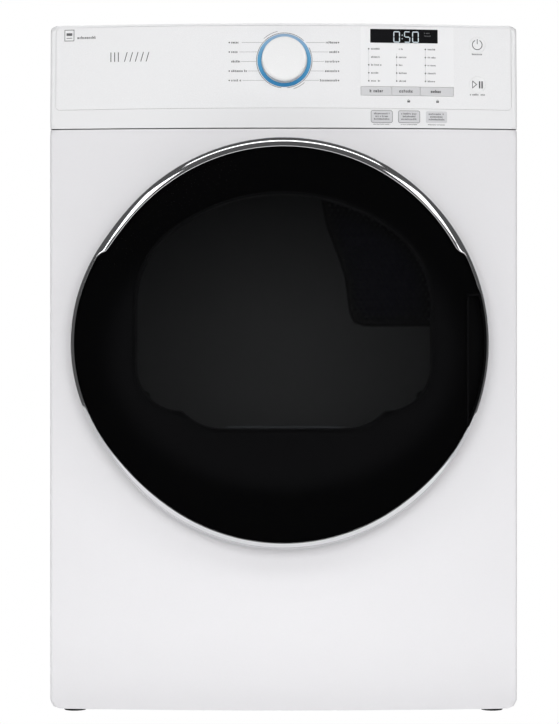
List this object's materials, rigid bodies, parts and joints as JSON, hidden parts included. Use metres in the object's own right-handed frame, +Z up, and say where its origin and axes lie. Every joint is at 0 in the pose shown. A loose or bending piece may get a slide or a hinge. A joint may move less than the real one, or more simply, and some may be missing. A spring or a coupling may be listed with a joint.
{
  "type": "clothes dryer",
  "caption": "Front-loading vented clothes dryer with a round glass door on a left hinge, a belt-driven drum, a lift-out lint filter and a tilted console with a knob and keys.",
  "frame": {"origin": "on the floor, under the middle of the machine's bounding box", "axes": "+X to the right of a person facing the door, +Y to the back, +Z up"},
  "size_m": [0.686, 0.8, 1.011],
  "materials": {
    "white_enamel": "smooth white enamel",
    "zinc_steel": "zinc-coated sheet, faint spangle",
    "bulkhead_paint": "pale grey baked paint",
    "drum_coat": "speckled grey powder coat",
    "bare_steel": "machined",
    "motor_paint": "dark lacquer",
    "fascia_plastic": "fine satin gloss",
    "overlay_plastic": "gloss print film",
    "key_plastic": "satin grey",
    "round_key_plastic": "gloss",
    "knob_plastic": "spun sheen",
    "blue_light": "translucent blue",
    "display_black": "smoked window",
    "board": "circuit board",
    "trim_chrome": "mirror chrome",
    "tinted_glass": "dark tint, gloss",
    "clear_glass": "clear",
    "door_black": "gloss black",
    "liner_grey": "satin grey",
    "collar_grey": "satin grey",
    "air_plastic": "moulded ducting",
    "grille_paint": "dark perforated sheet",
    "filter_plastic": "satin",
    "filter_mesh": "fine woven mesh",
    "felt": "wool felt",
    "rubber": "matt rubber",
    "seal_rubber": "soft rubber",
    "wheel_plastic": "nylon"
  },
  "bodies": {
    "cabinet": {"base_pan": "zinc_steel", "left_side_panel": "white_enamel", "right_side_panel": "white_enamel", "rear_panel": "zinc_steel", "top_panel": "white_enamel", "front_panel": "white_enamel", "door_collar": "collar_grey", "front_bulkhead": "bulkhead_paint", "rear_bulkhead": "bulkhead_paint", "air_grille": "grille_paint", "front_drum_seal": "felt", "rear_drum_seal": "felt", "drum_belt": "rubber", "roller_axles": "bare_steel", "lint_duct": "air_plastic", "blower_housing": "air_plastic", "motor_housing": "motor_paint", "exhaust_pipe": "zinc_steel", "heater_housing": "zinc_steel", "heater_coil": "bare_steel", "rear_air_duct": "zinc_steel", "terminal_cover": "zinc_steel", "idler_spring": "bare_steel", "hinge_bracket": "bare_steel", "hinge_pin": "bare_steel", "door_catch": "air_plastic", "control_fascia": "fascia_plastic", "control_overlay": "overlay_plastic", "display_window": "display_black", "control_board": "board", "knob_light_ring": "blue_light", "screws": "bare_steel"},
    "door": {"door_trim_ring": "trim_chrome", "door_outer_glass": "tinted_glass", "door_frame": "door_black", "door_liner": "liner_grey", "door_inner_glass": "clear_glass", "door_seal": "seal_rubber", "door_strike": "bare_steel", "hinge_leaf": "bare_steel"},
    "drum": {"drum_shell": "drum_coat", "drum_lifters": "liner_grey"},
    "left_roller_body": {"left_roller": "rubber"},
    "right_roller_body": {"right_roller": "rubber"},
    "motor_rotor": {"motor_shaft": "bare_steel", "blower_wheel": "wheel_plastic"},
    "tension_arm": {"idler_arm": "bare_steel"},
    "tension_pulley": {"idler_pulley": "wheel_plastic"},
    "lint_filter": {"lint_filter_frame": "filter_plastic", "lint_filter_screen": "filter_mesh"},
    "knob": {"program_knob": "knob_plastic"},
    "power_button": {"power_key": "round_key_plastic"},
    "start_button": {"start_key": "round_key_plastic"},
    "level_button": {"level_key": "key_plastic"},
    "heat_button": {"heat_key": "key_plastic"},
    "time_button": {"time_key": "key_plastic"},
    "front_left_leveller": {"front_left_foot": "rubber"},
    "front_right_leveller": {"front_right_foot": "rubber"},
    "rear_left_leveller": {"rear_left_foot": "rubber"},
    "rear_right_leveller": {"rear_right_foot": "rubber"}
  },
  "joints": [
    {"name": "door_hinge", "type": "hinge", "parent": "cabinet", "child": "door", "pos_m": [-0.293, -0.35411, 0.542], "axis": [0, 0, -1], "range_deg": [0, 105]},
    {"name": "drum_spin", "type": "hinge", "parent": "cabinet", "child": "drum", "pos_m": [0, 0, 0.59], "axis": [0, 1, 0], "continuous": true},
    {"name": "left_roller_spin", "type": "hinge", "parent": "cabinet", "child": "left_roller_body", "pos_m": [-0.21936, 0.211, 0.30923], "axis": [0, 1, 0], "continuous": true},
    {"name": "right_roller_spin", "type": "hinge", "parent": "cabinet", "child": "right_roller_body", "pos_m": [0.21936, 0.211, 0.30923], "axis": [0, 1, 0], "continuous": true},
    {"name": "motor_spin", "type": "hinge", "parent": "cabinet", "child": "motor_rotor", "pos_m": [-0.12, 0, 0.17], "axis": [0, 1, 0], "continuous": true},
    {"name": "tension_arm_swing", "type": "hinge", "parent": "cabinet", "child": "tension_arm", "pos_m": [0.159, 0.031, 0.238], "axis": [0, 1, 0], "range_deg": [0, 9], "stiffness_Nm_per_rad": 2, "springref_deg": -45.84, "deforming": ["idler_spring"]},
    {"name": "tension_pulley_spin", "type": "hinge", "parent": "tension_arm", "child": "tension_pulley", "pos_m": [0.06, 0.019, 0.19], "axis": [0, 1, 0], "continuous": true},
    {"name": "lint_filter_lift", "type": "slide", "parent": "cabinet", "child": "lint_filter", "axis": [0, 0, 1], "range_m": [0, 0.16]},
    {"name": "knob_turn", "type": "hinge", "parent": "cabinet", "child": "knob", "pos_m": [0.001, -0.33802, 0.95576], "axis": [0, -0.9976, 0.0698], "continuous": true},
    {"name": "power_press", "type": "slide", "parent": "cabinet", "child": "power_button", "axis": [0, 0.9976, -0.0698], "range_m": [0, 0.0008], "stiffness_N_per_m": 800, "springref_m": -0.0005},
    {"name": "start_press", "type": "slide", "parent": "cabinet", "child": "start_button", "axis": [0, 0.9976, -0.0698], "range_m": [0, 0.0008], "stiffness_N_per_m": 800, "springref_m": -0.0005},
    {"name": "level_press", "type": "slide", "parent": "cabinet", "child": "level_button", "axis": [0, 0.9976, -0.0698], "range_m": [0, 0.0008], "stiffness_N_per_m": 800, "springref_m": -0.0005},
    {"name": "heat_press", "type": "slide", "parent": "cabinet", "child": "heat_button", "axis": [0, 0.9976, -0.0698], "range_m": [0, 0.0008], "stiffness_N_per_m": 800, "springref_m": -0.0005},
    {"name": "time_press", "type": "slide", "parent": "cabinet", "child": "time_button", "axis": [0, 0.9976, -0.0698], "range_m": [0, 0.0008], "stiffness_N_per_m": 800, "springref_m": -0.0005},
    {"name": "front_left_level", "type": "slide", "parent": "cabinet", "child": "front_left_leveller", "axis": [0, 0, -1], "range_m": [0, 0.015]},
    {"name": "front_right_level", "type": "slide", "parent": "cabinet", "child": "front_right_leveller", "axis": [0, 0, -1], "range_m": [0, 0.015]},
    {"name": "rear_left_level", "type": "slide", "parent": "cabinet", "child": "rear_left_leveller", "axis": [0, 0, -1], "range_m": [0, 0.015]},
    {"name": "rear_right_level", "type": "slide", "parent": "cabinet", "child": "rear_right_leveller", "axis": [0, 0, -1], "range_m": [0, 0.015]}
  ],
  "couplings": [
    {"joint": "left_roller_spin", "follows": "drum_spin", "ratio": -8.3684},
    {"joint": "right_roller_spin", "follows": "drum_spin", "ratio": -8.3684},
    {"joint": "motor_spin", "follows": "drum_spin", "ratio": 26.372},
    {"joint": "tension_pulley_spin", "follows": "drum_spin", "ratio": 10.966}
  ]
}
